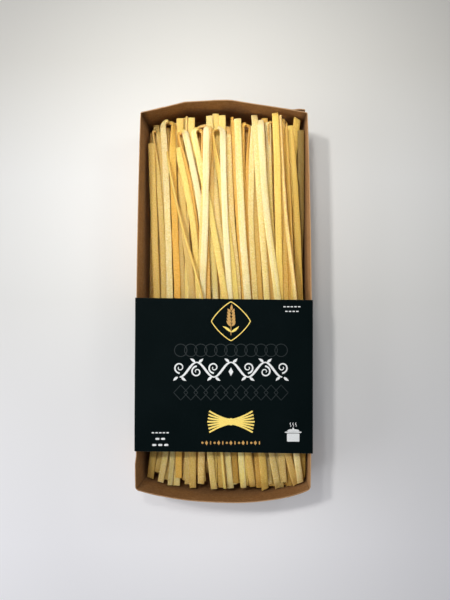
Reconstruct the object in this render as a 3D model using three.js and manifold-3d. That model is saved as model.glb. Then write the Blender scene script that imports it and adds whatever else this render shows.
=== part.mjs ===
// Dried tagliatelle in an open kraft paperboard tray, with a black paper sleeve round the -Y half.
// Millimetres, +Z up. X runs across the tray and Y along it. The origin is the middle of the
// footprint, on the surface that the pack lies on. The strands lie along Y: most are cut at both
// ends, and some are hairpins, bent double at the +Y end where they hung over a drying rod.

import * as THREE from 'three';
import { mergeVertices } from 'three/addons/utils/BufferGeometryUtils.js';
import Module from 'manifold-3d';

const wasm = await Module();
wasm.setup();

// Driving dimensions of the tray.
const BOARD = 0.6; // paperboard thickness
const RIM_Z = 36; // top edge of the walls
const CORNER_X = 64; // nominal half width at the corners, the scale of the tray's plan
const CORNER_Y = 139.4; // half length at the corners
const END_BOW = 9.7; // how far each end wall bulges past its corners
const CORNER_RADIUS = 3; // the side walls curl round the ends
const TAB_REACH = 20; // glued corner tabs, folded round on to the end walls
const TAB_STEP = 0.4;

// Driving dimensions of the sleeve.
const PAPER = 0.4;
const SLEEVE_NEAR_Y = 1.6; // its edge towards the middle of the tray
const SLEEVE_FAR_Y = -111.6;
const SLEEVE_SKEW = 0.013; // it sits very slightly askew
const SLEEVE_FOLD_RADIUS = 1;

// Driving dimensions of the pasta.
const GAP = 0.3; // clearance between separate pieces
const STRAND_THICKNESS = 1.3; // on average
const THICKNESS_SPREAD = 0.24;
const EMBED = 0.45; // how deep a fused strand sinks into what it lies on
const MIDDLE_Y = 3; // where a strand's middle x is given
const HEAP_CROWN_Z = 22.6; // height of the core's top where it is highest
const HEAP_CROWN_X = 12; // the heap is highest right of the middle, and lowest along the -X side
const HEAP_SIDE_Z = 16.5; // height of its top where the slopes would end
const HEAP_LIMIT_Z = 31.2; // the sleeve has pressed every strand down below this
const HEAP_SLOPE = { left: 64, right: 58 }; // run of the slopes from the crown
const CORE_X = [-51.5, 57]; // the core's sides, short of the side walls
const HEAP_TOP_Y = 124; // the core's ends, short of the strands' own ends
const HEAP_BOTTOM_Y = -127;
const CUT_SKEW = 1; // how far one corner of a cut end runs ahead of the other
const TWIST_RUN = 24; // length over which a hairpin's leg turns from flat to edge-on
const LEG_STATIONS = 96;
const SETTLING_PASSES = 50; // more passes make stiffer strands, which sag less between supports
const BEND_STATIONS = 6;

const FLOOR_Z = PAPER + GAP; // underside of the tray's floor over the sleeve
const HEAP_BOTTOM_Z = FLOOR_Z + BOARD + GAP;

// ---------------------------------------------------------------------------------------------
// Solids

/** A closed three.js geometry as a solid for joining and cutting. */
function solidFrom(geometry) {
  geometry.deleteAttribute('normal');
  geometry.deleteAttribute('uv');
  const merged = mergeVertices(geometry, 1e-5);
  const vertProperties = new Float32Array(merged.attributes.position.array);
  const triVerts = new Uint32Array(merged.index.array);
  return new wasm.Manifold(new wasm.Mesh({ numProp: 3, vertProperties, triVerts }));
}

/** Solids joined two by two, so that no join has to walk the whole heap. */
function joined(solids) {
  if (solids.length === 1) return solids[0];
  const pairs = [];
  for (let i = 0; i < solids.length; i += 2) {
    pairs.push(i + 1 < solids.length ? solids[i].add(solids[i + 1]) : solids[i]);
  }
  return joined(pairs);
}

/** The largest shell of a solid: sealed hollows are filled and loose scraps are dropped. */
function largestShell(solid) {
  const { vertProperties: at, triVerts } = solid.getMesh();
  const parent = Array.from({ length: at.length / 3 }, (_, i) => i);
  const rootOf = (i) => {
    while (parent[i] !== i) i = parent[i] = parent[parent[i]];
    return i;
  };
  for (let t = 0; t < triVerts.length; t += 3) {
    parent[rootOf(triVerts[t])] = rootOf(triVerts[t + 1]);
    parent[rootOf(triVerts[t + 1])] = rootOf(triVerts[t + 2]);
  }
  const corner = (i) => new THREE.Vector3().fromArray(at, 3 * i);
  const volumes = new Map();
  for (let t = 0; t < triVerts.length; t += 3) {
    const [a, b, c] = [0, 1, 2].map((k) => corner(triVerts[t + k]));
    const shell = rootOf(triVerts[t]);
    volumes.set(shell, (volumes.get(shell) ?? 0) + a.dot(b.cross(c)) / 6);
  }
  const largest = [...volumes.entries()].sort((p, q) => q[1] - p[1])[0][0];
  const kept = [];
  for (let t = 0; t < triVerts.length; t += 3) {
    if (rootOf(triVerts[t]) === largest) kept.push(triVerts[t], triVerts[t + 1], triVerts[t + 2]);
  }
  const geometry = new THREE.BufferGeometry();
  geometry.setAttribute('position', new THREE.BufferAttribute(new Float32Array(at), 3));
  geometry.setIndex(kept);
  return geometry;
}

/** `count` + 1 evenly spaced values from `from` to `to`. */
function steps(from, to, count) {
  return Array.from({ length: count + 1 }, (_, i) => THREE.MathUtils.lerp(from, to, i / count));
}

/** A box cut at the planes xs, ys and zs, with every corner of the cuts moved by place(x, y, z). */
function bentBlock(xs, ys, zs, place) {
  const geometry = new THREE.BoxGeometry(1, 1, 1, xs.length - 1, ys.length - 1, zs.length - 1);
  const position = geometry.attributes.position;
  const pick = (values, unit) => values[Math.round((unit + 0.5) * (values.length - 1))];
  for (let i = 0; i < position.count; i += 1) {
    const x = pick(xs, position.getX(i));
    const y = pick(ys, position.getY(i));
    const z = pick(zs, position.getZ(i));
    position.setXYZ(i, ...place(x, y, z));
  }
  return geometry;
}

// ---------------------------------------------------------------------------------------------
// Tray

/** Half width of the tray's outside at y, between the straight floor fold and the bowed rim. */
function trayHalfWidth(y, rise) {
  const t = y / CORNER_Y;
  const atFloor = 62.3 - 1.0 * t;
  const atRim = 64.8 - 1.1 * t - 1.9 * t * t;
  return THREE.MathUtils.lerp(atFloor, atRim, rise);
}

/** The bow of an end wall: 1 where it bulges most, at u = peak, and 0 at the corners, u = ±1. */
function endBow(u, peak, power) {
  const side = u < peak ? -1 : 1;
  return 1 - Math.abs((u - peak) / (side - peak)) ** power;
}

/** Half length of the tray's outside at x, at its +Y end (side 1) or its -Y end (side -1). */
function trayHalfLength(x, side) {
  const u = THREE.MathUtils.clamp(x / CORNER_X, -1, 1);
  const bow = side > 0 ? endBow(u, -0.15, 1.8) : endBow(u, 0.12, 2.4);
  return CORNER_Y + END_BOW * bow;
}

/** The tray's floor is held up by the sleeve's paper and sags on to the table at both ends. */
function floorZ(y) {
  const towardsTop = (CORNER_Y - y) / (CORNER_Y - SLEEVE_NEAR_Y - 4);
  const towardsBottom = (CORNER_Y + y) / (CORNER_Y + SLEEVE_FAR_Y - 4);
  return FLOOR_Z * THREE.MathUtils.clamp(Math.min(towardsTop, towardsBottom), 0, 1);
}

/** Rounds the upright edges of the block |x| <= limitX, |y| <= limitY to a radius. */
function roundCorner(x, y, limitX, limitY, radius) {
  const dx = Math.max(0, Math.abs(x) - limitX + radius);
  const dy = Math.max(0, Math.abs(y) - limitY + radius);
  if (dx === 0 || dy === 0) return [x, y];
  const pull = Math.max(dx, dy) / Math.hypot(dx, dy);
  return [
    Math.sign(x) * (limitX - radius + dx * pull),
    Math.sign(y) * (limitY - radius + dy * pull),
  ];
}

/** Cuts for a block of the tray's plan: fine round the corners, and at the sleeve's edges. */
function planCuts(limit, radius, extra, count) {
  const inner = limit - radius;
  const rounding = [limit, limit - radius / 2];
  const cuts = [...rounding.map((v) => -v), ...steps(-inner, inner, count), ...extra, ...rounding];
  return cuts.sort((a, b) => a - b);
}

/** A solid that fills the tray's plan, drawn in by `inset`, from `low` above the floor's underside. */
function trayBlock(inset, low, high, hasTabs) {
  const limitX = CORNER_X - inset;
  const limitY = CORNER_Y - inset;
  const radius = CORNER_RADIUS - inset;
  const tabEdge = CORNER_X - TAB_REACH;
  const tabCuts = hasTabs ? [-tabEdge, TAB_STEP - tabEdge, tabEdge - TAB_STEP, tabEdge] : [];
  const sagCuts = [SLEEVE_NEAR_Y + 4, SLEEVE_FAR_Y - 4];
  const place = (x, y, rise) => {
    const [rx, ry] = roundCorner(x, y, limitX, limitY, radius);
    const tab = hasTabs && Math.abs(x) >= tabEdge - 0.01 ? BOARD : 0;
    const reach = trayHalfLength(rx, Math.sign(y)) + tab;
    const worldY = (ry / CORNER_Y) * reach;
    const worldX = (rx / CORNER_X) * trayHalfWidth(worldY, rise);
    const bottom = floorZ(ry) + low;
    return [worldX, worldY, THREE.MathUtils.lerp(bottom, high, rise)];
  };
  const xs = planCuts(limitX, radius, tabCuts, 8);
  const ys = planCuts(limitY, radius, sagCuts, 8);
  return solidFrom(bentBlock(xs, ys, [0, 1], place));
}

function trayGeometry() {
  const outside = trayBlock(0, 0, RIM_Z, true);
  const inside = trayBlock(BOARD, BOARD, RIM_Z + 2, false);
  return largestShell(outside.subtract(inside));
}

// ---------------------------------------------------------------------------------------------
// Sleeve

/** The sleeve's cross-section: a trapezoid with rounded folds, as a path for a Shape. */
function sleeveOutline(path, offset) {
  const bottomZ = PAPER - offset;
  const topZ = RIM_Z + GAP + offset;
  const bottomX = trayHalfWidth(SLEEVE_FAR_Y, 0) + GAP + offset;
  const topX = trayHalfWidth(-0.29 * CORNER_Y, 1) + GAP + offset;
  const r = SLEEVE_FOLD_RADIUS - PAPER + offset;
  const lean = ((topX - bottomX) * r) / (topZ - bottomZ);
  path.moveTo(-bottomX + r, bottomZ);
  path.lineTo(bottomX - r, bottomZ);
  path.quadraticCurveTo(bottomX, bottomZ, bottomX + lean, bottomZ + r);
  path.lineTo(topX - lean, topZ - r);
  path.quadraticCurveTo(topX, topZ, topX - r, topZ);
  path.lineTo(-topX + r, topZ);
  path.quadraticCurveTo(-topX, topZ, -topX + lean, topZ - r);
  path.lineTo(-bottomX - lean, bottomZ + r);
  path.quadraticCurveTo(-bottomX, bottomZ, -bottomX + r, bottomZ);
  return path;
}

function sleeveGeometry() {
  const section = sleeveOutline(new THREE.Shape(), PAPER);
  section.holes.push(sleeveOutline(new THREE.Path(), 0));
  const depth = SLEEVE_NEAR_Y - SLEEVE_FAR_Y;
  const band = new THREE.ExtrudeGeometry(section, { depth, bevelEnabled: false, curveSegments: 4 });
  band.rotateX(Math.PI / 2); // the section's y becomes +Z, and its depth runs towards -Y
  band.translate(0, SLEEVE_NEAR_Y, 0);
  const position = band.attributes.position;
  for (let i = 0; i < position.count; i += 1) {
    position.setY(i, position.getY(i) - SLEEVE_SKEW * position.getX(i));
  }
  return largestShell(solidFrom(band));
}

// ---------------------------------------------------------------------------------------------
// Pasta

/** Repeatable random numbers from 0 to 1. */
function randomFrom(seed) {
  let state = seed;
  return () => {
    state = (state * 16807) % 2147483647;
    return state / 2147483647;
  };
}

// The strands that show, from the lowest to the highest. Each has the x of its middle line at its
// +Y end, at the middle of the tray and at its -Y end, and the y of both ends.
// roll is the turn about its length in degrees: 0 lies flat and 90 stands on its edge.
// skew is how far one corner of its -Y end runs ahead of the other.
const LOW_STRANDS = [
  { x: [-53.5, -47.5, -52.5], y: [137, -131], width: 4.8 },
  { x: [-39, -32.5, -29], y: [139, -139.5], width: 4.8 },
  { x: [-30.5, -20, -22.5], y: [143.5, -141], width: 5, roll: 50 },
  { x: [-25.5, -14.5, -12], y: [141, -142], width: 5.4 },
  { x: [-12.5, -8, -3], y: [142.5, -142], width: 5 },
  { x: [-7, -2, -0.5], y: [144.5, -141.5], width: 5.3, roll: -14 },
  { x: [-2, 6.5, 8.5], y: [142.5, -140.5], width: 5.3, roll: 10 },
  { x: [30, 34.5, 37], y: [140.5, -141], width: 5.3 },
  { x: [43, 47.5, 45], y: [139.5, -142], width: 5 },
  { x: [55.5, 50, 50.5], y: [139.5, -142], width: 5.4, roll: -12 },
  { x: [58, 58.5, 59], y: [130, -137.5], width: 4.2 },
];
const HAIRPINS_BELOW = [
  { left: [-22, -20, -19], right: [3, 5, 8.5], y: [136.5, -139.5], width: 4.6 },
  { left: [-55.2, -52, -54], right: [-50.6, -46.5, -45.5], y: [131, -131.5], width: 4.6 },
  { left: [43.8, 46.5, 48], right: [47.6, 51, 52], y: [137, -141.5], width: 4.2 },
];
const MIDDLE_STRANDS = [
  { x: [-56, -51.5, -58.3], y: [122, -136.5], width: 5.8 },
  { x: [-34.8, -24.5, -24.5], y: [140.8, -143.5], width: 6 },
  { x: [17.5, 26.7, 30.2], y: [134.5, -143.5], width: 5.2, skew: 3.5 },
  { x: [2.3, 10.5, 14.7], y: [127.5, -141.5], width: 4.8 },
  { x: [22, 22.6, 24.6], y: [134.3, -138.5], width: 4.6, roll: -12 },
  { x: [37.7, 40.5, 41], y: [142.5, -143.5], width: 5.6, skew: -4 },
  { x: [49, 56.8, 59.3], y: [132, -134.5], width: 5.7 },
  { x: [-35.4, -10.7, -14.9], y: [114.5, -138.8], width: 5 },
];
const HAIRPINS_ABOVE = [
  { left: [-47.2, -42.2, -48.5], right: [-38.8, -36, -35], y: [138, -136], width: 5 },
  { left: [-30.2, -6.2, -7.5], right: [-25.2, -9, -11.5], y: [130, -141.5], width: 5.6 },
  { left: [-22.5, -0.2, 9.3], right: [-16.8, -12, -8], y: [131.3, -139], width: 4.8 },
];
const TOP_STRANDS = [
  { x: [22.8, 32.4, 34.5], y: [142, -142], width: 5.6 },
  { x: [41.8, 53.4, 56.5], y: [140.3, -136.5], width: 4.8, roll: 14 },
  { x: [45.6, 51, 54.3], y: [129, -139], width: 4.6, roll: 72 },
  { x: [27, 40, 49], y: [136.5, -143], width: 5.6, roll: -6 },
  { x: [10, 17.5, 20.8], y: [139, -141], width: 6 },
];
const HAIRPINS_TOP = [
  { left: [-13.5, -18.2, -17.8], right: [-8.4, -13, -14], y: [131.6, -138], width: 4.8 },
  { left: [-8.9, 3.6, 8], right: [-1.6, 4.2, 4.8], y: [131.6, -141], width: 4.8 },
];
const CROSSING_STRANDS = [{ x: [-43.6, -14.2, 2], y: [117, -139], width: 3.8, roll: 70 }];

/** x along a strand: one smooth curve through its +Y end, its middle and its -Y end. */
function strandX(xs, ys, y) {
  const [top, middle, bottom] = xs;
  const slopeTop = (top - middle) / (ys[0] - MIDDLE_Y);
  const slopeBottom = (middle - bottom) / (MIDDLE_Y - ys[1]);
  const slope = (slopeTop + slopeBottom) / 2;
  const reach = y > MIDDLE_Y ? ys[0] - MIDDLE_Y : ys[1] - MIDDLE_Y;
  const bend = ((y > MIDDLE_Y ? slopeTop : slopeBottom) - slope) / reach;
  return middle + slope * (y - MIDDLE_Y) + bend * (y - MIDDLE_Y) ** 2;
}

/** Keeps a strand of a half width clear of the side walls. */
function insideWalls(x, y, halfWidth) {
  const limit = trayHalfWidth(y, 0.5) - BOARD - GAP - halfWidth - 0.3;
  return THREE.MathUtils.clamp(x, -limit, limit);
}

/** The y of a strand's end, kept clear of the end wall over the whole width of its cut. */
function endInsideWall(y, x, width, skew) {
  const side = Math.sign(y);
  const outermost = Math.abs(x) + width / 2;
  const reach = Math.min(trayHalfLength(outermost, side), trayHalfLength(-outermost, side));
  return side * Math.min(Math.abs(y), reach - BOARD - GAP - 0.4 - Math.abs(skew) / 2);
}

/** Stations along one cut strand, from its -Y end to its +Y end. */
function cutStations(strand) {
  const { x, y: ends, width, skew = CUT_SKEW } = strand;
  const bottom = endInsideWall(ends[1], x[2], width, skew);
  const top = endInsideWall(ends[0], x[0], width, CUT_SKEW);
  return steps(bottom, top, LEG_STATIONS).map((y) => ({
    x: insideWalls(strandX(x, ends, y), y, width / 2),
    y,
    roll: THREE.MathUtils.degToRad(strand.roll ?? 0),
  }));
}

/** Stations up one leg of a hairpin and round its bend, to just past the top of the bend. */
function legStations({ left, right, y, width }, isLeft) {
  const radius = (right[0] - left[0]) / 2;
  const centreX = (right[0] + left[0]) / 2;
  const springY = y[0] - radius;
  const xs = isLeft ? left : right;
  const leg = steps(y[1], springY, LEG_STATIONS).map((at) => {
    const turned = THREE.MathUtils.smoothstep(at, springY - TWIST_RUN, springY - 2);
    const x = insideWalls(strandX(xs, [springY, y[1]], at), at, width / 2);
    return { x, y: at, roll: (turned * Math.PI) / 2 };
  });
  const bend = steps(0, Math.PI / 2 + 0.3, BEND_STATIONS).slice(1).map((angle) => ({
    x: centreX + (isLeft ? -1 : 1) * radius * Math.cos(angle),
    y: springY + radius * Math.sin(angle),
    roll: Math.PI / 2,
  }));
  return [...leg, ...bend];
}

// The heap's height so far, on a grid over the tray's floor.
const CELL_X = 1;
const CELL_Y = 3;
const GRID_X = 130;
const GRID_Y = 100;

function heapTop(x) {
  const run = x < HEAP_CROWN_X ? HEAP_SLOPE.left : HEAP_SLOPE.right;
  const out = Math.min(1, Math.abs(x - HEAP_CROWN_X) / run);
  return THREE.MathUtils.lerp(HEAP_CROWN_Z, HEAP_SIDE_Z, out ** 2.4);
}

function newHeightGrid() {
  const grid = new Float32Array(GRID_X * GRID_Y);
  return grid.map((_, cell) => heapTop(((cell % GRID_X) + 0.5 - GRID_X / 2) * CELL_X));
}

/** The grid cells under a strand's width at one station. */
function cellsUnder(station, { width, thickness }) {
  const half = (width * Math.abs(Math.cos(station.roll))) / 2;
  const across = Math.max(half, thickness / 2);
  const first = Math.floor((station.x - across) / CELL_X + GRID_X / 2);
  const last = Math.floor((station.x + across) / CELL_X + GRID_X / 2);
  const row = Math.floor(station.y / CELL_Y + GRID_Y / 2);
  return Array.from({ length: last - first + 1 }, (_, i) => row * GRID_X + first + i);
}

/** Half the height of a strand's cross-section, turned by its roll. */
function halfHeight(roll, { width, thickness }) {
  const upright = (width * Math.abs(Math.sin(roll))) / 2;
  const flat = (thickness * Math.abs(Math.cos(roll))) / 2;
  return upright + flat;
}

/**
 * Lays a strand on the heap: it rests on the highest things under it and spans between them.
 * Returns the height of its underside at its last station, which `pinned` can set.
 */
function layStrand(grid, stations, size, pinned) {
  const support = stations.map((s) => Math.max(...cellsUnder(s, size).map((c) => grid[c])));
  const base = [...support];
  base[base.length - 1] = pinned ?? base.at(-1);
  for (let pass = 0; pass < SETTLING_PASSES; pass += 1) {
    for (let i = 1; i < base.length - 1; i += 1) {
      base[i] = Math.max(support[i], (base[i - 1] + base[i + 1]) / 2);
    }
  }
  stations.forEach((s, i) => {
    const half = halfHeight(s.roll, size);
    s.z = Math.min(base[i] + half - EMBED, HEAP_LIMIT_Z - half);
    for (const cell of cellsUnder(s, size)) {
      grid[cell] = Math.max(grid[cell], base[i] + size.thickness - EMBED);
    }
  });
  return base.at(-1);
}

/** A flat bar bent along stations, each with x, y, z and roll, at the few given by `picks`. */
function ribbon(stations, picks, { width, thickness }, skew) {
  const last = picks.length - 1;
  const place = (across, along, up) => {
    const index = picks[along];
    const here = stations[index];
    const before = stations[Math.max(0, index - 1)];
    const after = stations[Math.min(stations.length - 1, index + 1)];
    const travel = new THREE.Vector3(after.x - before.x, after.y - before.y, after.z - before.z);
    travel.normalize();
    const right = new THREE.Vector3(travel.y, -travel.x, 0).normalize();
    const side = right.multiplyScalar(Math.cos(here.roll));
    side.z += Math.sin(here.roll);
    const normal = new THREE.Vector3().crossVectors(side, travel).normalize();
    const point = new THREE.Vector3(here.x, here.y, here.z);
    point.addScaledVector(side, across * width);
    point.addScaledVector(normal, up * thickness);
    const lead = along === 0 ? skew * across : along === last ? CUT_SKEW * across : 0;
    return point.addScaledVector(travel, lead).toArray();
  };
  return solidFrom(bentBlock([-0.5, 0.5], picks.map((_, i) => i), [-0.5, 0.5], place));
}

function cutStrand(grid, strand, thickness) {
  const stations = cutStations(strand);
  const size = { width: strand.width, thickness };
  layStrand(grid, stations, size);
  const picks = steps(0, stations.length - 1, 8).map(Math.round);
  return ribbon(stations, picks, size, strand.skew ?? CUT_SKEW);
}

/** A hairpin is made as its two legs, the left over the right, which meet round the bend. */
function hairpin(grid, strand, thickness) {
  const legs = [];
  const picks = [0, 16, 32, 48, 64, 76, 84, 90, LEG_STATIONS];
  const bend = steps(LEG_STATIONS, LEG_STATIONS + BEND_STATIONS, 2).slice(1);
  let bendHeight;
  for (const isLeft of [false, true]) {
    const stations = legStations(strand, isLeft);
    const size = { width: strand.width - (isLeft ? 0 : 0.2), thickness };
    bendHeight = layStrand(grid, stations, size, bendHeight);
    legs.push(ribbon(stations, [...picks, ...bend], size, CUT_SKEW));
  }
  return joined(legs);
}

/** The strands inside the heap, which don't show, as one crowned block. */
function heapCore() {
  const place = (x, y, level) => [x, y, level > 0 ? heapTop(x) : HEAP_BOTTOM_Z];
  return solidFrom(bentBlock(steps(...CORE_X, 10), [HEAP_BOTTOM_Y, HEAP_TOP_Y], [0, 1], place));
}

/** The cut ends of the strands inside the heap, which stand out of the core at both ends. */
function strandEnds(random) {
  const ends = [];
  const width = 5.6;
  const pitch = 8.4;
  const levels = 4;
  const lowest = HEAP_BOTTOM_Z + 1;
  for (const [side, coreEnd] of [[1, HEAP_TOP_Y], [-1, HEAP_BOTTOM_Y]]) {
    for (let level = 0; level < levels; level += 1) {
      for (let x = CORE_X[0] + 4 * (1 + (level % 2)); x < CORE_X[1] - 3; x += pitch) {
        const at = x + 2.4 * (random() - 0.5);
        const room = trayHalfLength(at, side) - BOARD - 3;
        const tip = side * Math.min(room, 133 + 9 * random());
        const highest = heapTop(at) - 2.5;
        const z = THREE.MathUtils.lerp(lowest, highest, level / (levels - 1)) + random();
        const lean = 2.4 * (random() - 0.5);
        const ys = [coreEnd - side * 6, tip].sort((a, b) => a - b);
        const place = (across, y, up) => [
          at + across * width + (lean * (y - coreEnd)) / 14,
          y + 1.5 * across * Math.sign(lean),
          z + up * STRAND_THICKNESS,
        ];
        ends.push(solidFrom(bentBlock([-0.5, 0.5], ys, [-0.5, 0.5], place)));
      }
    }
  }
  return ends;
}

function pastaGeometry() {
  const grid = newHeightGrid();
  const random = randomFrom(20931);
  const solids = [heapCore(), ...strandEnds(random)];
  const layers = [
    [LOW_STRANDS, cutStrand],
    [HAIRPINS_BELOW, hairpin],
    [MIDDLE_STRANDS, cutStrand],
    [HAIRPINS_ABOVE, hairpin],
    [TOP_STRANDS, cutStrand],
    [HAIRPINS_TOP, hairpin],
    [CROSSING_STRANDS, cutStrand],
  ];
  for (const [strands, make] of layers) {
    for (const strand of strands) {
      const thickness = STRAND_THICKNESS + THICKNESS_SPREAD * (random() - 0.5);
      solids.push(make(grid, strand, thickness));
    }
  }
  return largestShell(joined(solids));
}

// ---------------------------------------------------------------------------------------------
// The pack

/** One named piece with its own material. */
function piece(name, geometry, color, roughness) {
  const material = new THREE.MeshStandardMaterial({ color, roughness, metalness: 0 });
  const mesh = new THREE.Mesh(geometry, material);
  mesh.name = name;
  return mesh;
}

const pack = new THREE.Group();
pack.add(piece('tray', trayGeometry(), 0x9c7446, 0.85));
pack.add(piece('sleeve', sleeveGeometry(), 0x141b1e, 0.55));
pack.add(piece('pasta', pastaGeometry(), 0xeacb86, 0.75));

export default pack;
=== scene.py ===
"""Looks of a tray pack of dried tagliatelle: kraft board tray, black paper sleeve, loose strands.

Lengths are in millimetres until build_mesh() turns them into metres. +X runs across the tray,
+Y along it and +Z up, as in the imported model.
"""

from math import atan2, pi, radians

import bpy
import numpy as np
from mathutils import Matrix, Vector


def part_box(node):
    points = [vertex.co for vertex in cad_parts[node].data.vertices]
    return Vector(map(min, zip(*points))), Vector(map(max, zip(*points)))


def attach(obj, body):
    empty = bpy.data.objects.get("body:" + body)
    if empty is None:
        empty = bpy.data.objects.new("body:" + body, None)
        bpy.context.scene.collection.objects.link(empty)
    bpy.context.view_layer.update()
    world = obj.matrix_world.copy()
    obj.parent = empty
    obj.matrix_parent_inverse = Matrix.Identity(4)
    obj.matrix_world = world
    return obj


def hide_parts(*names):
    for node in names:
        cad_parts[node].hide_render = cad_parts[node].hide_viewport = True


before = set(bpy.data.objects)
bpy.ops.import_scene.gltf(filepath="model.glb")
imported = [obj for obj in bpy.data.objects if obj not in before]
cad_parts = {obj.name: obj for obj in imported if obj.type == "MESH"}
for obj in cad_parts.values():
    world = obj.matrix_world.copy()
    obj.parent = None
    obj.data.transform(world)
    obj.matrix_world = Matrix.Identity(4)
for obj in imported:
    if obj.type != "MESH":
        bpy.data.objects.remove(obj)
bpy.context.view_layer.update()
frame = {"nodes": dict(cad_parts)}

MM = 0.001  # one millimetre in metres
SHARP_ANGLE = 50  # degrees between faces from which an edge is shaded sharp
CARD_ANGLE = 35  # and on board and paper

# The tray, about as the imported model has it.
BOARD = 0.6  # paperboard thickness
RIM_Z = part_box("tray")[1].z / MM
CORNER_X = 64  # nominal half width at the corners, the scale of the tray's plan
CORNER_Y = 139.4  # half length at the corners
FLOOR_HALF_WIDTH = 62.3
FLOOR_TAPER = 1  # how much it narrows from the middle to the +Y end
RIM_HALF_WIDTH = 64.8
RIM_TAPER = 1.1
RIM_BULGE = 1.9  # how far the side walls bow out in the middle
END_BOW = 9.7  # how far each end wall bulges past its corners
TOP_BOW_AT = (-1, -0.47, -0.1, 0.07, 0.21, 0.58, 1)  # across the +Y end wall, which is
TOP_BOW = (0, 0.83, 0.96, 0.96, 0.82, 0.49, 0)  # flat in the middle and softly kinked
BOTTOM_BOW_PEAK = 0.12  # the -Y end wall is one sweep, furthest out here
BOTTOM_BOW_POWER = 2.4
CORNER_RADIUS = {1: 1.2, -1: 2.4}  # crisp at the +Y end, curled at the -Y end
TAB_REACH = 20  # glued corner tabs, folded round on to the end walls
TAB_HEIGHT = 34.8
TAB_POINTS = 12
WALL_LEVELS = (0.1, 0.25, 0.4, 0.55, 0.7, 0.85, 0.97)  # shares of a wall's height
CORNER_SHADE_FADE = 0.5  # length over which the painted shade in a corner fades
FLOOR_REST = 4  # how far past the sleeve the floor still lies at the sleeve's height

# The sleeve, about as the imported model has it.
PAPER = 0.4
GAP = 0.3  # clearance between separate pieces
SLEEVE_TOP_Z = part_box("sleeve")[1].z / MM
SLEEVE_NEAR_Y = 1.6  # its edge towards the middle of the tray
SLEEVE_FAR_Y = -111.6
SLEEVE_SKEW = 0.013  # it sits very slightly askew
SLEEVE_FOLD_RADIUS = 1
PANEL_SAG = 0.35  # how far the top panel's middle sags
WIDEST_Y = -0.29 * CORNER_Y  # where the tray's rim is widest

# The pasta.
STRAND_THICKNESS = 1.3
THICKNESS_SPREAD = 0.24
CHAMFER = 0.26  # off a strand's long edges
EMBED = 0.5  # how deep a strand sinks into what it lies on
TILTED_COVER = 0.7  # share of a tilted strand's extra height that the next one clears
SIDE_CLEARANCE, END_CLEARANCE = 0.3, 0.4  # between strands and walls, on top of GAP
TOP_DEPTH = 2  # how far below the heap's outline its top strands start
HEAP_CROWN_Z = 22.6
HEAP_CROWN_X = 12
HEAP_SIDE_Z = 16.5
HEAP_LIMIT_Z = 32.6
LEFT_RUN, RIGHT_RUN = 64, 58  # from the crown out to each side
CUT_SKEW = 0.45
TWIST_RUN = 35  # length over which a hairpin's leg turns from flat to nearly edge-on
FLAT_RUN = 8  # and where that leg stays broad up to the bend
FLAT_SHARE = 0.35
BEND_ROLL = radians(-68)
LEG_STATIONS = 96
SETTLING_PASSES = 50
BEND_STATIONS = 9
LOWER_END_PAINTED_SHADE = 0.74  # painted shade: the strands' -Y ends are darker,
SHADED_Y, SHADE_RUN = -100, 8  # from here on, over this length

FLOOR_Z = PAPER + GAP
CORE_BOTTOM_Z = FLOOR_Z + BOARD + GAP
CORE_DEPTH = 9  # the loose strands lie this deep over the core
CORE_LEFT, CORE_RIGHT = -51.5, 57
CORE_END_Y = 131
CORE_CLEARANCE = 0.2
TOP_SEED, INNER_SEED = 20931, 77
MOST_INNER_STRANDS = 150
INNER_REACH = 57  # how far from the middle an inner strand may lie
LEAST_ROOM = 2.2  # the height that an inner strand needs


# ---- Meshes

def smooth(t):
    t = np.clip(t, 0, 1)
    return t * t * (3 - 2 * t)


def lerp(a, b, t):
    return a + (b - a) * t


def unit(vectors):
    return vectors / np.linalg.norm(vectors, axis=1)[:, None]


def wobble(rng, along, wavelength):
    """Smooth random values of about -1 to 1 along a length."""
    t = (along - np.min(along)) / wavelength
    knots = np.clip(rng.normal(0, 0.6, int(np.max(t)) + 3), -1.2, 1.2)
    i = t.astype(int)
    f = smooth(t - i)
    return knots[i] * (1 - f) + knots[i + 1] * f


class Surface:
    """Closed tubes gathered into one mesh, with vector attributes at each vertex."""

    def __init__(self):
        self.points = []
        self.faces = []
        self.traits = {}
        self.count = 0

    def tube(self, rings, looped=False, **traits):
        """rings[i][j] are points, j going clockwise round the tube seen along its travel."""
        rings = np.asarray(rings, float)
        n, m = rings.shape[:2]
        index = self.count + np.arange(n * m).reshape(n, m)
        after = np.roll(index, -1, axis=0) if looped else index[1:]
        here = index if looped else index[:-1]
        quads = np.stack([here, np.roll(here, -1, 1), np.roll(after, -1, 1), after], -1)
        self.faces.extend(quads.reshape(-1, 4).tolist())
        if not looped:
            self.faces.append(index[0][::-1].tolist())
            self.faces.append(index[-1].tolist())
        self.points.append(rings.reshape(-1, 3))
        for name, values in traits.items():
            full = np.broadcast_to(values, (n, m, 3)).reshape(-1, 3)
            self.traits.setdefault(name, []).append(full)
        self.count += n * m


def add_object(name, data):
    piece = bpy.data.objects.new(name, data)
    bpy.context.scene.collection.objects.link(piece)
    return piece


def build_mesh(name, surface, material, sharp_angle=SHARP_ANGLE):
    """One object from a Surface, in metres, shaded smooth but for its sharp edges."""
    mesh = bpy.data.meshes.new(name)
    mesh.from_pydata((np.concatenate(surface.points) * MM).tolist(), [], surface.faces)
    for trait, values in surface.traits.items():
        attribute = mesh.attributes.new(trait, "FLOAT_VECTOR", "POINT")
        attribute.data.foreach_set("vector", np.concatenate(values).astype(np.float32).ravel())
    mesh.polygons.foreach_set("use_smooth", [True] * len(mesh.polygons))
    mesh.set_sharp_from_angle(angle=radians(sharp_angle))
    mesh.update()
    mesh.materials.append(material)
    return add_object(name, mesh)


# ---- Materials

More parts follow.
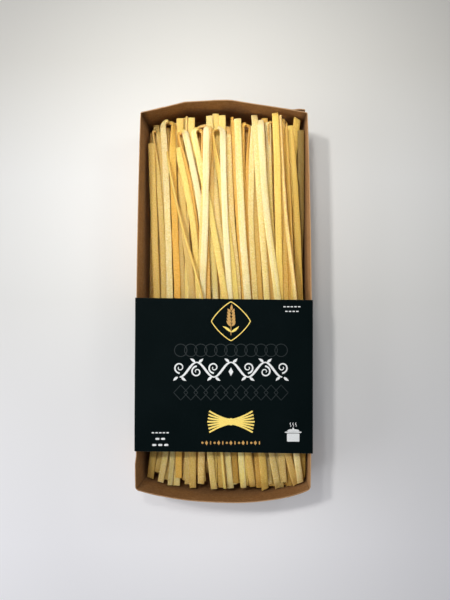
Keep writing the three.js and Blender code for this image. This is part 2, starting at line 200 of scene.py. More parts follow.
class Nodes:
    """Short names for building a node material."""

    def __init__(self, name):
        self.material = bpy.data.materials.new(name)
        self.material.use_nodes = True
        self.tree = self.material.node_tree

    def add(self, kind, settings=(), **inputs):
        node = self.tree.nodes.new(kind)
        for key, value in dict(settings).items():
            setattr(node, key, value)
        return self.fill(node, inputs)

    def fill(self, node, inputs):
        """Links or sets inputs, each given by its number or by its name with _ for a space."""
        for key, value in inputs.items():
            socket = node.inputs[int(key) if key.isdigit() else key.replace("_", " ")]
            if isinstance(value, bpy.types.NodeSocket):
                self.tree.links.new(value, socket)
            else:
                socket.default_value = (*value, 1) if socket.type == "RGBA" else value
        return node

    def position(self):
        """A point's place on the object, in metres."""
        return self.add("ShaderNodeTexCoord").outputs["Object"]

    def attribute(self, name):
        return self.add("ShaderNodeAttribute", {"attribute_name": name}).outputs["Vector"]

    def parts(self, vector):
        return self.add("ShaderNodeSeparateXYZ", Vector=vector).outputs

    def stretched(self, vector, scale):
        inputs = {"0": vector, "1": scale}
        return self.add("ShaderNodeVectorMath", {"operation": "MULTIPLY"}, **inputs).outputs[0]

    def noise(self, vector, scale, detail, roughness=0.5):
        return self.add("ShaderNodeTexNoise", Vector=vector, Scale=scale, Detail=detail,
                        Roughness=roughness).outputs["Fac"]

    def span(self, value, low, high, to_low=0, to_high=1):
        inputs = dict(zip("01234", (value, low, high, to_low, to_high)))
        return self.add("ShaderNodeMapRange", {"clamp": True}, **inputs).outputs[0]

    def math(self, operation, a, b):
        return self.add("ShaderNodeMath", {"operation": operation}, **{"0": a, "1": b}).outputs[0]

    def mix(self, factor, a, b, blend="MIX"):
        settings = {"data_type": "RGBA", "blend_type": blend}
        return self.add("ShaderNodeMix", settings, **{"0": factor, "6": a, "7": b}).outputs[2]

    def ramp(self, factor, stops):
        node = self.add("ShaderNodeValToRGB", Fac=factor)
        elements = node.color_ramp.elements
        while len(elements) < len(stops):
            elements.new(0.5)
        for element, (at, colour) in zip(elements, stops):
            element.position = at
            element.color = (*colour, 1)
        return node.outputs["Color"]

    def bump(self, height, strength, distance):
        return self.add("ShaderNodeBump", Height=height, Strength=strength,
                        Distance=distance).outputs["Normal"]

    def finish(self, **inputs):
        self.fill(self.tree.nodes["Principled BSDF"], inputs)
        return self.material


# Pale cream to deep golden, by a strand's tone.
PASTA_TONES = [
    (0, (0.9, 0.78, 0.45)),
    (0.25, (0.88, 0.69, 0.17)),
    (0.5, (0.84, 0.56, 0.11)),
    (0.75, (0.83, 0.47, 0.075)),
    (1, (0.86, 0.43, 0.055)),
]
# painted shade for the strands' side faces, which are seen in the gaps between strands
PASTA_EDGE_SHADE = (0.68, 0.33, 0.05)
DUSTED = (0.86, 0.64, 0.29)
FLOUR = (0.9, 0.8, 0.52)


def pasta_material():
    """Dry dough: streaks along each strand, pale flour in patches, a fine grain, and painted light and
    shade.
    """
    n = Nodes("pasta_dough")
    lay = n.attribute("lay")  # millimetres across and along the strand, and a number of its own
    look = n.parts(n.attribute("look"))  # tone, flour and edge, the side faces that take painted shade
    streak = n.noise(n.stretched(lay, (1.5, 0.035, 7)), 1, 3)
    patch = n.noise(n.stretched(lay, (0.35, 0.09, 7)), 1, 3, 0.6)
    grain = n.noise(n.stretched(lay, (1.5, 1.2, 7)), 1, 3, 0.7)
    rib = n.noise(n.stretched(lay, (0.4, 1.6, 7)), 1, 2, 0.6)
    shift = n.span(streak, 0.3, 0.7, -0.11, 0.11)
    tone = n.math("ADD", look[0], n.math("ADD", shift, n.span(patch, 0.3, 0.7, -0.06, 0.06)))
    colour = n.ramp(tone, PASTA_TONES)
    # painted shade: the side faces, seen in the gaps between strands, are a deeper orange
    colour = n.mix(n.math("MULTIPLY", look[2], 0.7), colour, PASTA_EDGE_SHADE)
    dusting = n.math("MULTIPLY", look[1], n.span(patch, 0.3, 0.7, 0.25, 0.75))
    colour = n.mix(dusting, colour, DUSTED)
    specks = n.math("MULTIPLY", n.span(grain, 0.52, 0.62), n.span(look[1], 0, 1, 0.15, 0.7))
    colour = n.mix(specks, colour, FLOUR)
    # painted light and shade: each strand's painted shading darkens or lightens its colour
    colour = n.mix(1, colour, n.attribute("shade"), "MULTIPLY")
    # painted shade: the grain's and the ribs' low spots, which the bump sinks, are darker
    pit_shade = n.math("ADD", n.span(grain, 0.32, 0.5, 0.78, 1), n.span(rib, 0.35, 0.65, -0.08, 0))
    colour = n.mix(1, colour, pit_shade, "MULTIPLY")
    height = n.math("ADD", n.math("MULTIPLY", streak, 0.6), n.math("ADD", grain, rib))
    return n.finish(Base_Color=colour, Roughness=n.span(grain, 0.3, 0.7, 0.55, 0.75),
                    Normal=n.bump(height, 0.35, 0.0002), Specular_IOR_Level=0.3,
                    Subsurface_Weight=0.12, Subsurface_Radius=(0.0016, 0.001, 0.0004),
                    Subsurface_Scale=1)


def core_material():
    n = Nodes("pasta_inside_shade")
    streak = n.noise(n.stretched(n.position(), (700, 14, 700)), 1, 3)
    # painted shade: far darker than the dough, as the heap's inside lies in shade
    colour = n.ramp(streak, [(0.35, (0.35, 0.17, 0.03)), (0.65, (0.65, 0.36, 0.08))])
    return n.finish(Base_Color=colour, Roughness=0.8)


def board_material():
    """Uncoated kraft: long brown fibres, dark and pale specks, a paler cut edge, and painted shade in
    corners and at ends.
    """
    n = Nodes("kraft_board")
    place = n.position()
    fibre = n.noise(n.stretched(place, (260, 900, 700)), 1, 4, 0.65)
    cross = n.noise(n.stretched(place, (900, 220, 500)), 1, 4, 0.65)
    cloud = n.noise(place, 45, 3)
    speck = n.noise(place, 2600, 1)
    look = n.parts(n.attribute("look"))  # painted corner shade, nothing and edge
    fibres = n.math("MULTIPLY", n.math("ADD", fibre, cross), 0.5)
    colour = n.ramp(fibres, [(0.36, (0.27, 0.14, 0.056)), (0.52, (0.335, 0.18, 0.075)),
                             (0.66, (0.41, 0.235, 0.105))])
    colour = n.mix(n.span(cloud, 0.35, 0.65, 0, 0.22), colour, (0.25, 0.13, 0.052))
    colour = n.mix(n.span(speck, 0.7, 0.78, 0, 0.5), colour, (0.15, 0.075, 0.03))
    y = n.parts(place)[1]  # painted shade: both ends of the board are darker, the -Y end most
    colour = n.mix(n.span(y, 0.135, 0.143, 0, 0.9), colour, (0.86, 0.78, 0.66), "MULTIPLY")
    colour = n.mix(n.span(y, -0.137, -0.143, 0, 0.9), colour, (0.74, 0.66, 0.56), "MULTIPLY")
    colour = n.mix(n.math("MULTIPLY", look[2], 0.75), colour, (0.5, 0.31, 0.17))
    # painted shade in the tray's inside corners
    colour = n.mix(n.math("MULTIPLY", look[0], 0.75), colour, (0.09, 0.045, 0.02))
    return n.finish(
        Base_Color=colour,
        Roughness=n.span(fibres, 0.35, 0.65, 0.9, 0.75),
        Normal=n.bump(n.math("ADD", fibres, n.math("MULTIPLY", speck, 0.3)), 0.25, 0.0001),
        Specular_IOR_Level=0.2,
    )


def paper_material():
    """Smooth black paper with a cool cast, faint fibres and paler wear along its cut edges."""
    n = Nodes("black_paper")
    place = n.position()
    fibre = n.noise(n.stretched(place, (900, 300, 900)), 1, 4, 0.7)
    cloud = n.noise(place, 22, 3)
    edge = n.parts(n.attribute("look"))[2]
    colour = n.ramp(cloud, [(0.3, (0.0014, 0.004, 0.0045)), (0.7, (0.0024, 0.0055, 0.0062))])
    colour = n.mix(n.span(fibre, 0.55, 0.75, 0, 0.35), colour, (0.006, 0.01, 0.012))
    wear = n.math("MULTIPLY", edge, n.span(fibre, 0.5, 0.62, 0.15, 0.8))
    colour = n.mix(wear, colour, (0.09, 0.1, 0.1))
    return n.finish(
        Base_Color=colour,
        Roughness=n.span(fibre, 0.35, 0.65, 0.58, 0.46),
        Normal=n.bump(fibre, 0.12, 0.0001),
        Specular_IOR_Level=0.02,
    )


def ink_material(name, light, dark, roughness):
    """Printed ink, very slightly uneven."""
    n = Nodes(name)
    grain = n.noise(n.position(), 1800, 2)
    colour = n.mix(n.span(grain, 0.4, 0.65), dark, light)
    return n.finish(Base_Color=colour, Roughness=roughness, Specular_IOR_Level=0.25)


# ---- Tray

def tray_half_width(y, rise):
    t = y / CORNER_Y
    at_floor = FLOOR_HALF_WIDTH - FLOOR_TAPER * t
    at_rim = RIM_HALF_WIDTH - RIM_TAPER * t - RIM_BULGE * t * t
    return lerp(at_floor, at_rim, rise)


def left_spread(y):
    """How far the left side stands out at its -Y end, most of all beyond the sleeve."""
    within_sleeve = 0.6 * smooth((10 - y) / 120)
    beyond_sleeve = smooth((-112.5 - y) / 9)
    return within_sleeve + beyond_sleeve


def tray_x(plan_x, y, rise):
    x = plan_x / CORNER_X * tray_half_width(y, rise)
    return x + np.minimum(plan_x, 0) / CORNER_X * left_spread(y) * rise


def corner_shade(inset):
    """1 where the board is folded at a corner of the plan, and 0 elsewhere: there painted shade darkens the
    inside corners.
    """
    plan = np.abs(plan_loop(inset))
    from_corner = np.hypot(CORNER_X - inset - plan[:, 0], CORNER_Y - inset - plan[:, 1])
    return np.clip(2.2 - from_corner / CORNER_SHADE_FADE, 0, 1)


def bottom_bow(u):
    side = np.where(u < BOTTOM_BOW_PEAK, -1, 1)
    return 1 - np.abs((u - BOTTOM_BOW_PEAK) / (side - BOTTOM_BOW_PEAK)) ** BOTTOM_BOW_POWER


def tray_half_length(x, side):
    u = np.clip(np.asarray(x) / CORNER_X, -1, 1)
    bow = np.where(side > 0, np.interp(u, TOP_BOW_AT, TOP_BOW), bottom_bow(u))
    return CORNER_Y + END_BOW * bow


def floor_z(y):
    """The tray's floor is held up by the sleeve's paper and sags on to the table at both ends."""
    towards_top = (CORNER_Y - y) / (CORNER_Y - SLEEVE_NEAR_Y - FLOOR_REST)
    towards_bottom = (CORNER_Y + y) / (CORNER_Y + SLEEVE_FAR_Y - FLOOR_REST)
    return FLOOR_Z * np.clip(np.minimum(towards_top, towards_bottom), 0, 1)


def plan_loop(inset):
    """Points round the tray's plan before it is bowed, drawn in by an inset."""
    limit_x, limit_y = CORNER_X - inset, CORNER_Y - inset
    points = []
    for sx, sy in ((1, -1), (1, 1), (-1, 1), (-1, -1)):
        radius = max(0.4, CORNER_RADIUS[sy] - inset)
        centre = np.array([sx * (limit_x - radius), sy * (limit_y - radius)])
        start = atan2(sy, sx) - pi / 4
        turns = np.linspace(start, start + pi / 2, 6)
        arc = centre + radius * np.c_[np.cos(turns), np.sin(turns)]
        if points:
            points.append(between(points[-1][-1], arc[0]))
        points.append(arc)
    points.append(between(points[-1][-1], points[0][0]))
    return np.concatenate(points)


def between(a, b):
    """Points between two others along a straight side, without its two ends."""
    count = 48 if abs(b[1] - a[1]) > abs(b[0] - a[0]) else 30
    return lerp(a, b, np.linspace(0, 1, count + 2)[1:-1, None])


def tray_ring(inset, rise, lift=0, scale=1, drop=0):
    """One ring of the tray's board. rise is 0 at the floor and 1 at the rim."""
    plan = plan_loop(inset) * scale
    side = np.sign(plan[:, 1])
    y = plan[:, 1] / CORNER_Y * tray_half_length(plan[:, 0], side)
    x = tray_x(plan[:, 0], y, rise)
    ripple = 0.22 * np.sin(x / 11 + 1.3) + 0.18 * np.sin(x / 6.1 + y / 23)
    z = lerp(floor_z(plan[:, 1]) + lift, RIM_Z - drop + ripple, rise)
    return np.c_[x, y, z]


def make_tray(material):
    board = Surface()
    outside = [tray_ring(0.9, 0, 0, scale) for scale in (0.01, 0.3, 0.6, 0.85, 0.99)]
    outside += [tray_ring(0, rise) for rise in (0.012, *WALL_LEVELS)]
    rim = [tray_ring(0.02, 1, drop=0.12), tray_ring(0.15, 1), tray_ring(BOARD - 0.15, 1),
           tray_ring(BOARD - 0.02, 1, drop=0.12)]
    inside = [tray_ring(BOARD, rise, BOARD) for rise in (*WALL_LEVELS[::-1], 0.02)]
    inside += [tray_ring(BOARD + 0.7, 0, BOARD, scale) for scale in (0.995, 0.85, 0.6, 0.3, 0.01)]
    rings = outside + rim + inside
    look = np.zeros((len(rings), len(rings[0]), 3))
    first_inside = len(outside) + len(rim)
    look[len(outside):first_inside, :, 2] = 1
    # painted shade in the inside corners of the walls
    look[first_inside:first_inside + len(WALL_LEVELS) + 1, :, 0] = corner_shade(BOARD)
    board.tube(rings, look=look)
    return build_mesh("tray_board", board, material, CARD_ANGLE)


def make_tabs(material):
    """The four glued corner tabs on the end walls. One at the +Y end stands a little off its wall."""
    tabs = Surface()
    for end in (1, -1):
        for side in (1, -1):
            across = np.linspace(CORNER_X - TAB_REACH, CORNER_X - CORNER_RADIUS[end] - 0.4, TAB_POINTS)
            rings = []
            for level in np.linspace(0.04, 1, 6):
                trimmed = across[0] + 2.5 * max(0, level - 0.85) / 0.15
                at = np.linspace(trimmed, across[-1], TAB_POINTS)
                z = lerp(floor_z(end * CORNER_Y), TAB_HEIGHT, level)
                ring = []
                for layer, row in ((0.02, at), (BOARD, at[::-1])):
                    plan_x = side * row
                    flare = 1.8 * level * smooth((plan_x - 51) / 9) if end > 0 else 0
                    y = end * (tray_half_length(plan_x, end) + layer + flare)
                    x = tray_x(plan_x, y, level)
                    ring.append(np.c_[x, y, np.full_like(x, z)])
                ring = np.concatenate(ring)
                rings.append(ring[::-1] if end * side > 0 else ring)
            edge = np.zeros((len(rings), len(rings[0]), 3))
            edge[-1, :, 2] = 1
            tabs.tube(rings, look=edge)
    return build_mesh("tray_tabs", tabs, material, CARD_ANGLE)


# ---- Sleeve

def sleeve_section(offset):
    """The sleeve's cross-section, clockwise seen along +Y, starting at the bottom's -X end."""
    low_z = PAPER - offset
    high_z = SLEEVE_TOP_Z - PAPER + offset
    low_x = tray_half_width(SLEEVE_FAR_Y, 0) + GAP + offset
    high_x = tray_half_width(WIDEST_Y, 1) + GAP + offset
    r = SLEEVE_FOLD_RADIUS - PAPER + offset
    lean = (high_x - low_x) * r / (high_z - low_z)
    turn = np.linspace(0, 1, 6)[1:-1, None]

    def fold(a, corner, b):
        a, corner, b = map(np.array, (a, corner, b))
        return (1 - turn) ** 2 * a + 2 * turn * (1 - turn) * corner + turn ** 2 * b

    def side(a, b, count):
        return lerp(np.array(a), np.array(b), np.linspace(0, 1, count)[:, None])

    bottom, walls, top = 20, 10, 30  # points along each panel
    folds = [  # where each starts, its corner, where it ends, and the points on the panel after it
        ((-high_x + lean, high_z - r), (-high_x, high_z), (-high_x + r, high_z), top),
        ((high_x - r, high_z), (high_x, high_z), (high_x - lean, high_z - r), walls),
        ((low_x + lean, low_z + r), (low_x, low_z), (low_x - r, low_z), bottom),
        ((-low_x + r, low_z), (-low_x, low_z), (-low_x - lean, low_z + r), None),
    ]
    parts = []
    last, count = (-low_x, low_z + r), walls
    for a, corner, b, after in folds:
        parts += [side(last, a, count), fold(a, corner, b)]
        last, count = b, after
    return np.concatenate(parts)


def panel_sag(x, y):
    """How far the sleeve's top panel lies below its flat plane."""
    across = np.clip(1 - (x / CORNER_X) ** 2, 0, 1)
    along = 0.75 + 0.25 * np.cos((y - SLEEVE_FAR_Y) / 36)
    return PANEL_SAG * across * along + 0.05 * across * np.sin(x / 17 + y / 29)


def make_sleeve(material):
    paper = Surface()
    ys = np.linspace(SLEEVE_FAR_Y, SLEEVE_NEAR_Y, 16)
    edge_rows = np.array([0, 1, len(ys) - 2, len(ys) - 1])
    ys[edge_rows] = [SLEEVE_FAR_Y, SLEEVE_FAR_Y + 0.3, SLEEVE_NEAR_Y - 0.3, SLEEVE_NEAR_Y]
    middle_z = SLEEVE_TOP_Z / 2
    skins = []
    for offset, row in ((PAPER, ys), (0, ys[::-1])):
        section = sleeve_section(offset)
        x = np.repeat(section[:, :1], len(row), 1)
        z = np.repeat(section[:, 1:], len(row), 1)
        y = row[None, :] - SLEEVE_SKEW * x
        x += np.minimum(x, 0) / section[:, 0].max() * left_spread(y) * z / SLEEVE_TOP_Z
        z = np.where(z > middle_z, z - panel_sag(x, y), z)
        skins.append(np.stack([x, y, z], -1))
    rings = np.concatenate(skins, 1)
    edge = np.zeros((rings.shape[1], 3))
    edge[[0, len(ys) - 1, len(ys), 2 * len(ys) - 1], 2] = 1
    paper.tube(rings, looped=True, look=edge[None])
    return build_mesh("sleeve_band", paper, material, CARD_ANGLE)


# ---- Print on the sleeve: simple ornaments as thin closed strokes on the top panel

INK_RISE = 0.03
INK_ROOT = 0.12  # how deep a stroke reaches into the paper
PRINT_X = 5.1  # middle line of the ornaments
EMBLEM_Y = -14.9
RING_BAND_Y = -36.3
VINE_Y = -50.6
DIAMOND_BAND_Y = -67.5
SHEAF_Y = -89
ROW_Y = -104.6


def ink_stroke(ink, points, half_widths, looped=False, raised=0):
    """A flat stroke along points in the plane of the top panel."""
    points = np.asarray(points, float)
    half = np.broadcast_to(half_widths, len(points))
    if looped:
        travel = np.roll(points, -1, 0) - np.roll(points, 1, 0)
    else:
        travel = np.gradient(points, axis=0)
    travel = unit(travel)
    right = np.c_[travel[:, 1], -travel[:, 0]]
    rings = []
    for side, rise in ((-1, INK_RISE), (1, INK_RISE), (1, -INK_ROOT), (-1, -INK_ROOT)):
        at = points + side * right * half[:, None]
        z = SLEEVE_TOP_Z - panel_sag(at[:, 0], at[:, 1]) + rise + raised
        rings.append(np.c_[at, z])
    ink.tube(np.stack(rings, 1), looped=looped)


def bar(ink, start, end, half, round_ends=True, raised=0):
    t = np.linspace(0, 1, 13)[:, None]
    points = lerp(np.array(start, float), np.array(end, float), t)
    length = np.linalg.norm(points[-1] - points[0])
    reach = np.minimum(t[:, 0], 1 - t[:, 0]) * length
    taper = np.sqrt(np.clip(1 - (1 - np.clip(reach / half, 0, 1)) ** 2, 0.02, 1))
    ink_stroke(ink, points, half * taper if round_ends else half, raised=raised)


def dot(ink, centre, radius):
    turn = np.linspace(0.02, pi - 0.02, 20)
    points = centre + np.c_[-radius * np.cos(turn), 0 * turn]
    ink_stroke(ink, points, radius * np.sin(turn))


def lozenge(ink, centre, half_x, half_y):
    t = np.linspace(-1, 1, 9)
    points = centre + np.c_[half_x * t, 0 * t]
    ink_stroke(ink, points, half_y * np.maximum(0.02, 1 - np.abs(t)))


def leaf(ink, root, heading, length, half):
    t = np.linspace(0, 1, 14)
    bend = heading + 0.5 * (t - 0.5)
    step = length / 13 * np.c_[np.cos(bend), np.sin(bend)]
    points = root + np.cumsum(step, 0) - step[0]
    ink_stroke(ink, points, half * np.maximum(0.04, np.sin(pi * t ** 0.8)))


def dashes(ink, centre, count, pitch, thickness):
    """A row of short dashes."""
    for k in range(count):
        middle = np.array(centre) + (pitch * (k - (count - 1) / 2), 0)
        bar(ink, middle - (0.36 * pitch, 0), middle + (0.36 * pitch, 0), thickness / 2)


def spiral(ink, middle, start, turns, radius, half):
    """A tendril that winds in towards its middle."""
    t = np.linspace(0, 1, 44)
    angle = start + 2 * pi * turns * t
    reach = radius * (1 - 0.82 * t)
    points = middle + reach[:, None] * np.c_[np.cos(angle), np.sin(angle)]
    ink_stroke(ink, points, half * (1 - 0.55 * t))


def draw_vine(ink):
    """A scrolling vine that mirrors itself, with tendrils and a lozenge in its hollows, and leaves."""
    middle = np.array([PRINT_X, VINE_Y])
    wave, height, waves = 12.6, 5.4, 3
    across = np.linspace(-waves * wave, waves * wave, 220)
    stem = np.c_[across, height * np.cos(pi * across / wave)]
    thick = 0.42 + 0.42 * np.abs(np.sin(pi * across / wave))
    ink_stroke(ink, middle + stem, thick * np.clip(40 - np.abs(across), 0.4, 1))
    for k in range(-waves, waves + 1):
        up = 1 if k % 2 == 0 else -1
        hollow = middle + (k * wave, -0.28 * height * up)
        mirror = 1 if k < 0 else -1
        if k:
            spiral(ink, hollow, up * pi / 2, mirror * up * 1.35, 4.1, 0.62)
        else:
            lozenge(ink, hollow, 1.7, 3.2)
        for side in (1, -1):
            root = middle + ((k + side * 0.1) * wave, height * up)
            leaf(ink, root, up * pi / 2 - side * up * 0.9, 4.6, 0.95)


def print_white():
    """The vine, rows of dashes, and a pot."""
    ink = Surface()
    draw_vine(ink)
    dashes(ink, (50, -4.2), 5, 2.7, 0.8)
    dashes(ink, (50, -7.6), 4, 2.7, 0.8)
    dashes(ink, (-47, -97.1), 5, 2.7, 0.9)
    dashes(ink, (-47, -101.6), 2, 4.2, 1.5)
    dashes(ink, (-47, -106.1), 3, 4.4, 1.5)
    draw_pot(ink, 51, -99)
    return ink


def draw_pot(ink, x, y):
    ink_stroke(ink, [(x - 4.6, y - 1.6), (x - 4.2, y - 1.6), (x + 4.2, y - 1.6), (x + 4.6, y - 1.6)],
               [2.6, 3, 3, 2.6])
    bar(ink, (x - 6.3, y + 2.3), (x + 6.3, y + 2.3), 0.5)
    t = np.linspace(-1, 1, 11)
    lid = np.c_[x + 4.4 * t, y + 3.4 + 0 * t]
    ink_stroke(ink, lid, 0.15 + np.sqrt(np.maximum(0, 1 - t * t)))
    dot(ink, (x, y + 5), 0.7)
    for steam in (-2, 0, 2):
        rise = np.linspace(0, 3, 9)
        points = np.c_[x + steam + 0.35 * np.sin(rise * 2.2), y + 6.4 + rise]
        ink_stroke(ink, points, 0.2)


def print_gold():
    """A wheat ear, and a row of bars, diamonds and dots."""
    ink = Surface()
    x, y = PRINT_X, EMBLEM_Y
    bar(ink, (x, y - 10.5), (x, y + 2.5), 0.26)
    for k in range(5):
        level = y - 3.6 + 2.5 * k
        for mirror in (1, -1):
            heading = pi / 2 - mirror * 0.62
            leaf(ink, (x + mirror * 0.5, level), heading, 5 - 0.35 * k, 0.95)
    leaf(ink, (x, y + 8), pi / 2 - 0.1, 4.6, 0.9)
    for k in range(-7, 8):
        at = np.array([PRINT_X + 3 * k, ROW_Y])
        if k % 3 == 0:
            lozenge(ink, at, 1.15, 1.7)
        elif k % 3 == 1:
            bar(ink, at - (0, 1.3), at + (0, 1.3), 0.4)
        else:
            dot(ink, at, 0.8)
    return ink


def print_yellow():
    """A lozenge frame with two leaves at its foot, and a sheaf of strips tied in the middle."""
    ink = Surface()
    x, y = PRINT_X, EMBLEM_Y
    turn = np.linspace(0, 2 * pi, 73)[:-1]
    frame = [14.3 * np.sign(f(turn)) * np.abs(f(turn)) ** 1.64 for f in (np.cos, np.sin)]
    ink_stroke(ink, np.c_[x + frame[0], y + frame[1]], 0.33, looped=True)
    for mirror in (1, -1):
        leaf(ink, (x, y - 8), pi / 2 - mirror * 0.95, 7.5, 0.9)
    x, y = PRINT_X, SHEAF_Y
    t = np.linspace(-1, 1, 25)
    for k in range(-3, 4):
        fan = np.c_[x + (17.5 - 0.5 * abs(k)) * t, y + k * (0.5 + 2.1 * np.abs(t) ** 1.5)]
        ink_stroke(ink, fan, 0.62, raised=0.004 * (k + 3))
    bar(ink, (x, y - 2.6), (x, y + 2.6), 0.9, False, 0.04)
    return ink


def print_grey():
    """Two faint bands: a chain of rings and a row of open diamonds."""
    ink = Surface()
    turn = np.linspace(0, 2 * pi, 41)[:-1]
    ring = 4.6 * np.c_[np.cos(turn), np.sin(turn)]
    corners = np.array([(5.2, 0), (0, 5.6), (-5.2, 0), (0, -5.6)])
    t = np.linspace(0, 1, 6)[:-1, None]
    diamond = np.concatenate([lerp(a, b, t) for a, b in zip(corners, np.roll(corners, -1, 0))])
    for k in range(-5, 6):
        for outline, y in ((ring, RING_BAND_Y), (diamond, DIAMOND_BAND_Y)):
            ink_stroke(ink, outline + (PRINT_X + 7.4 * k, y), 0.28, looped=True)
    return ink


# ---- Pasta: the strands that show, from the lowest to the highest
#
# A cut strand has the x of its middle line at its +Y tip, at UPPER_Y, MIDDLE_Y and LOWER_Y and at its
# -Y end, then the y of its two ends, and its width. A hairpin has x for its left and its right leg, and
# y for its bend's top and the end of each leg. tone runs from 0, pale cream, to 1, deep golden, and some
# of its changes along a strand paint the deeper colour of shade under other strands; flour is how dusty
# a strand is; a strand's painted shading multiplies its colour, as painted shade below 1 and painted
# light above 1; and roll is in degrees. Two rolls are at ROLL_Y, and three of the others at LOOK_Y.
# right_tone and right_flour are a hairpin's right leg's own. skew and tip_skew slant the cuts at -Y and
# +Y; lift is how far a tip rises, and from which y. flat is the leg that stays broad up to the bend;
# over is the one on top, if it isn't the left; and rise, square and twist_run shape a bend.

UPPER_Y, MIDDLE_Y, LOWER_Y = 69, 3, -126
ROLL_Y = (MIDDLE_Y, -100)
LOOK_Y = (125, MIDDLE_Y, -110)


def cut(x, y, width, **looks):
    return dict(x=x, y=y, width=width, **looks)


def hairpin(left, right, y, width, **looks):
    return dict(left=left, right=right, y=y, width=width, **looks)


BOTTOM_LAYER = [
    hairpin([-22, -21, -22, -30, -31], [3.2, 3, 5, 6, 6.6], [134.4, -139, -140], 4.6, rise=4, square=3,
            flat="right", tone=0.75, flour=0.6, shade=(0.9, 0.65, 0.85)),
    cut([-54.1, -52, -50, -53, -54.5], [138.6, -131], 4.6, tone=0.55, shade=0.85),
    cut([-46, -45.5, -44.5, -44.5, -45.3], [136, -139.2], 4.8, tone=0.6, shade=0.85),
    cut([-38, -35.9, -33.2, -28.6, -28.8], [139, -141.8], 5.2, tone=0.6, flour=0.6, shade=(1, 0.72, 0.95)),
    cut([-30.5, -29.5, -29.3, -37.3, -37.8], [142.3, -143.4], 5, roll=(50, 0), tone=(0.35, 0.35, 0.2),
        flour=0.6, shade=(1, 1, 1.25)),
    cut([-25.6, -24, -21, -18, -17.5], [141.2, -139], 5.2, tone=0.4),
    cut([-7.2, -3, -1, -0.5, -0.5], [144.9, -141], 5.2, tone=0.35),
    cut([-2.1, 0, 3, 11, 12], [143.1, -140], 5.3, tone=0.35),
    cut([5.6, 6.5, 8.5, 16, 18], [141.7, -140], 3.2, roll=(65, 20), tone=(0.8, 1, 0.6), flour=0.1,
        shade=(1, 0.7, 0.8)),
    cut([30.6, 33, 36, 45, 47], [141.5, -141], 5, tone=0.75, flour=0.2, shade=(1, 0.75, 0.8)),
    cut([43, 45, 48, 46, 46.5], [139.5, -142], 5, tone=(0.4, 0.65, 0.7), flour=(0.8, 0.2, 0.1),
        shade=(1, 0.85, 0.9)),
    cut([55.2, 50, 50, 52, 53], [142, -140], 5.4, roll=-10, tone=0.52, flour=0.05, tip_skew=-2,
        lift=(7, 100)),
    cut([60, 59, 57, 55, 55], [130, -134], 5, tone=0.6, flour=0.2, shade=0.33),
    hairpin([13, 13.5, 15, 20, 22], [19.6, 17, 19.5, 24, 25.5], [135.5, -138, -139], 4.6, flat="left",
            tone=0.8, flour=0.1),
    hairpin([-55.9, -49.9, -47.5, -51.9, -54.3], [-51.9, -48.4, -46, -41.2, -42.8], [132.1, -133.8, -142.8],
            4.4, flat="right", tone=0.55, right_tone=(0.55, 0.55, 0.15), shade=(0.85, 0.85, 1)),
    hairpin([43.8, 45, 47, 44.8, 45.5], [47.6, 47.9, 50, 48.7, 49.9], [137.9, -139, -142.9], 4.4,
            flat="left", tone=(0.6, 0.65, 0.7), flour=0.2, shade=(1, 0.85, 0.9)),
]
LOWER_LAYER = [
    cut([-11.8, -6.2, 2.4, 6, 7], [142.6, -141], 5.4, tone=(0.3, 0.4, 0.5), flour=0.9),
    cut([-56.7, -55.3, -53.1, -57, -58.9], [121.5, -138.4], 5.2, tone=0.58, flour=0.25, skew=-1.3,
        shade=(0.85, 0.85, 1)),
    cut([-34.5, -32, -24.8, -25, -24.9], [140.9, -144.4], 5.4, tone=(0.5, 0.6, 0.6), flour=(0.2, 0.6, 0.3),
        shade=(1, 0.74, 1)),
    cut([7.5, 10.5, 15.2, 25.3, 26.8], [138.5, -143.5], 5, tone=0.8, flour=0.1, shade=(0.9, 1, 0.9)),
    cut([22.5, 23.6, 27.2, 35.1, 36.2], [134, -142.7], 4.6, tone=(0.5, 0.8, 0.65), flour=(0.4, 0.1, 0.2),
        shade=(0.6, 0.85, 0.8)),
    cut([49.4, 54.8, 57.9, 59.3, 59.3], [133.5, -137.6], 5.4, tone=0.5, flour=0.05, shade=(1, 0.95, 0.9)),
]
